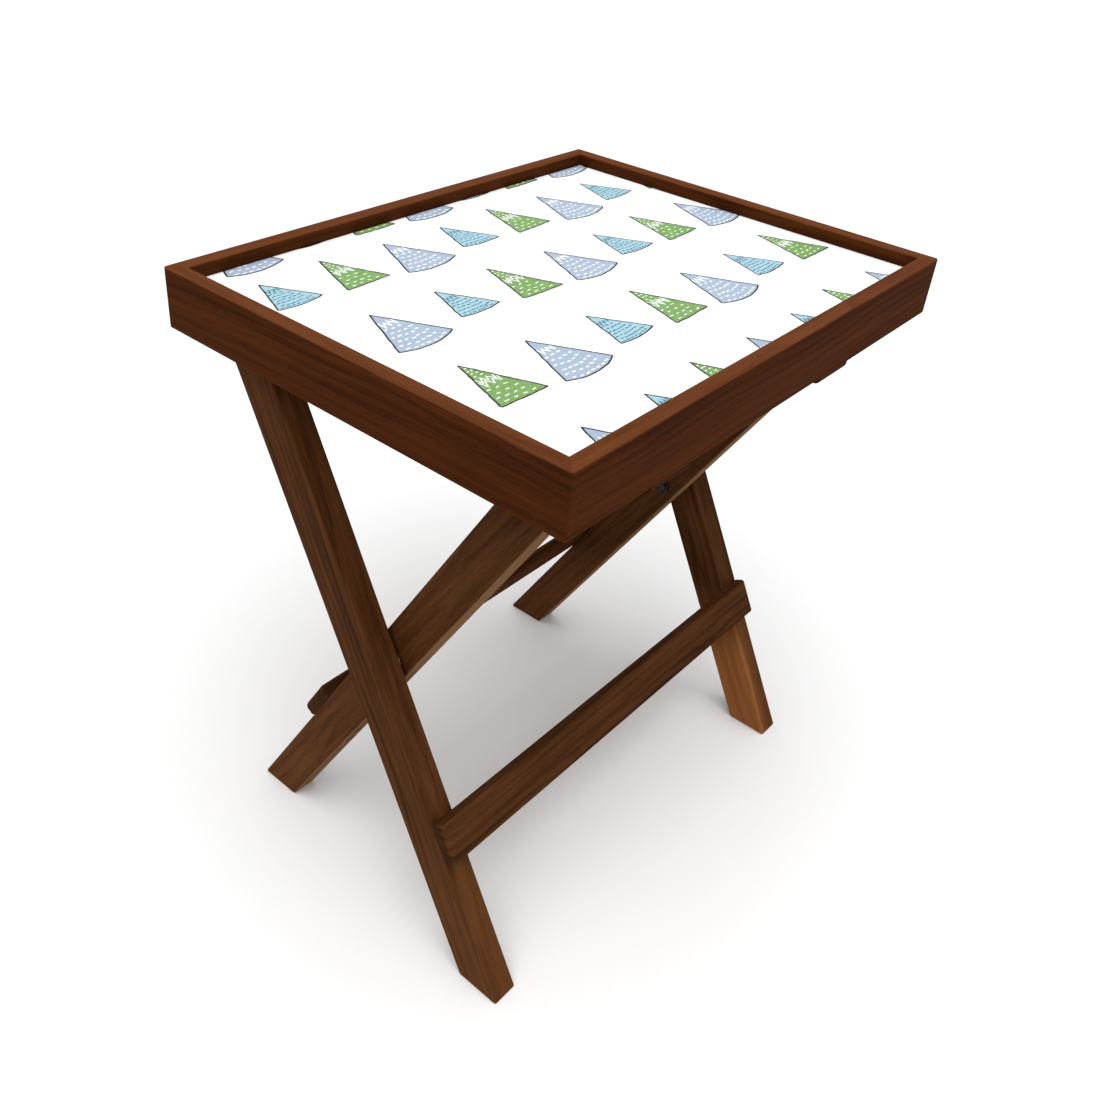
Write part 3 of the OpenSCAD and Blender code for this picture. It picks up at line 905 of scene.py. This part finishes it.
def stretcher(name, along_leg, outward, body, seed, screws):
    """A cross board: outer corners rounded, edges softened, screwed on from behind."""
    low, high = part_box(name)
    length = high.x - low.x
    half, thick, corner = length / 2, STRETCHER_THICK / 2, STRETCHER_CORNER
    wide = STRETCHER_WIDE[name]
    right = [(half, -thick), *arc((half - corner, thick - corner), corner, 0, 90, 6)]
    outline = right + [(-a, b) for a, b in reversed(right)]
    bm = prism(outline, middle(name), X, outward, along_leg, -wide / 2, wide / 2)
    soften(bm, STRETCHER_ARRIS)
    piece = new_piece("visual_" + name, mesh_of(bm, name))
    carve(piece, [grown_copy(screws, SNUG)])
    finish_board(piece, LEG_WOOD, body, "leg_wood", name, X, along_leg, seed)


def rail(name, centre, body, seed, tenon_radius, tenon_length, cutters=()):
    """A round rail along X, its shoulders chamfered, with a tenon at each end if it has one."""
    low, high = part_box(name)
    end = high.x - tenon_length
    right = [(end - RAIL_CHAMFER, RAIL_RADIUS), (end, RAIL_RADIUS - RAIL_CHAMFER)]
    if tenon_length:
        right += [(end, tenon_radius), (high.x - RAIL_CHAMFER, tenon_radius),
                  (high.x, tenon_radius - RAIL_CHAMFER)]
    right.append((high.x, 0))
    profile = [(-x, r) for x, r in reversed(right)] + right
    piece = new_piece("visual_" + name, mesh_of(turned(profile, centre), name))
    carve(piece, cutters)
    finish_board(piece, LEG_WOOD, body, "leg_wood", name, X, Z, seed, pith=RAIL_PITH)


# The way each stretcher's outer face looks, square to its legs
FRONT_OUT = -OUTER_ALONG.cross(X)
BACK_OUT = INNER_ALONG.cross(X)

tray_wall("front_wall", X, -Y, 11, [grown_copy("rest_block_screws", SNUG),
                                    grown_copy("corner_splines", RUNNING)])
tray_wall("back_wall", -X, Y, 12, [grown_copy("corner_splines", RUNNING)])
tray_wall("left_wall", -Y, -X, 13, [grown_copy("hinge_pins", RUNNING),
                                    grown_copy("corner_splines", RUNNING)])
tray_wall("right_wall", Y, X, 14, [grown_copy("hinge_pins", RUNNING),
                                   grown_copy("corner_splines", RUNNING)])
rest_block("left", 15)
rest_block("right", 16)
printed_sheet()

for side, seed, foot_tone in (("left", 21, LEFT_FOOT_LIGHT), ("right", 22, RIGHT_FOOT_LIGHT)):
    leg(side + "_outer_leg", HINGE, OUTER_ALONG, "outer_frame", seed,
        [grown_copy("hinge_pins", RUNNING), grown_copy("pivot_inserts", SNUG),
         grown_copy("front_stretcher_screws", SNUG),
         *counterbores("front_stretcher_screws", -FRONT_OUT)], foot_tone)
    leg(side + "_inner_leg", RAIL, INNER_ALONG, "inner_frame", seed + 10,
        [grown_copy("pivot_bolts", RUNNING), grown_copy("top_rail", SNUG),
         grown_copy("back_stretcher_screws", SNUG),
         *counterbores("back_stretcher_screws", -BACK_OUT)], INNER_FOOT_LIGHT, INNER_UNDERSIDE_LIGHT)
stretcher("front_stretcher", OUTER_ALONG, FRONT_OUT, "outer_frame", 41,
          "front_stretcher_screws")
stretcher("back_stretcher", INNER_ALONG, BACK_OUT, "inner_frame", 42, "back_stretcher_screws")
rail("top_rail", RAIL, "inner_frame", 51, RAIL_RADIUS * TENON_SHARE,
     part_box("top_rail")[1].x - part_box("right_inner_leg")[0].x)
rail("hinge_rail", HINGE, "hinge_rail", 52, 0, 0, [grown_copy("hinge_pins", SNUG)])

countersunk_screws("front_screws", "front_stretcher_screws", -FRONT_OUT, "outer_frame")
countersunk_screws("back_screws", "back_stretcher_screws", -BACK_OUT, "inner_frame")
countersunk_screws("block_screws", "rest_block_screws", Y, "tray")


# ---- CAD nodes that keep their shape ----

CARRIED = {
    "tray_panel": BOARD, "corner_splines": SPLINE_WOOD, "pivot_inserts": BRASS,
    "pivot_bolts": BOLT_STEEL, "pivot_head_washers": BOLT_STEEL, "hinge_pins": BOLT_STEEL,
    "pivot_spacers": NYLON, "hinge_washers": NYLON,
}
for node, material in CARRIED.items():
    slots = frame["nodes"][node].data.materials
    slots.clear()
    slots.append(material)


# ---- Stage, lights and camera ----

FLOOR_HALF = 30
FLOOR_GAP = 0.05 * MM
WORLD_STRENGTH = 0.6
KEY_TOWARDS, KEY_SPREAD, KEY_STRENGTH = (0.25, 0.2, -1), 60, 2.4


def pale_floor():
    bm = bmesh.new()
    bmesh.ops.create_grid(bm, x_segments=4, y_segments=4, size=FLOOR_HALF)
    floor = new_piece("floor", mesh_of(bm, "floor"))
    material, graph, shader = new_material("pale_floor", specular_ior_level=0.2)
    place = graph.add("TexCoord").outputs["Object"]
    cloud = graph.noise(place, (1.5, 1.5, 1.5), detail=3)
    surface(graph, shader, graph.ramp(cloud, (0.3, (0.86, 0.86, 0.86, 1)),
                                      (0.7, (0.88, 0.88, 0.88, 1))),
            graph.total((0.1, cloud)), cloud, 0.02 * MM)
    floor.data.materials.append(material)
    floor.location.z = cad_bounds[0].z - FLOOR_GAP


def soft_sun(name, towards, spread, strength):
    """A broad, even light that shines towards a direction, spread in degrees."""
    light = bpy.data.lights.new(name, "SUN")
    light.angle, light.energy = math.radians(spread), strength
    lamp = bpy.data.objects.new(name, light)
    lamp.rotation_euler = Vector(towards).to_track_quat("-Z", "Y").to_euler()
    bpy.context.scene.collection.objects.link(lamp)


def pale_world(strength):
    world = bpy.data.worlds.new("studio")
    bpy.context.scene.world = world
    world.use_nodes = True
    background = world.node_tree.nodes["Background"]
    background.inputs["Color"].default_value = (1, 1, 1, 1)
    background.inputs["Strength"].default_value = strength


def table_camera():
    """The photograph's camera, as fitted to the tray, the legs and the feet."""
    lens = bpy.data.cameras.new("camera")
    lens.lens, lens.sensor_width = 36.397, 36
    lens.shift_x, lens.shift_y = 0.0391, -0.0539
    camera = bpy.data.objects.new("camera", lens)
    camera.location = (-0.51931, -0.38149, 0.67531)
    camera.rotation_euler = [math.radians(a) for a in (56.859, -3.587, -48.53)]
    bpy.context.scene.collection.objects.link(camera)
    bpy.context.scene.camera = camera


pale_floor()
pale_world(WORLD_STRENGTH)
soft_sun("key_light", KEY_TOWARDS, KEY_SPREAD, KEY_STRENGTH)
table_camera()
bpy.context.scene.view_settings.view_transform = "Standard"
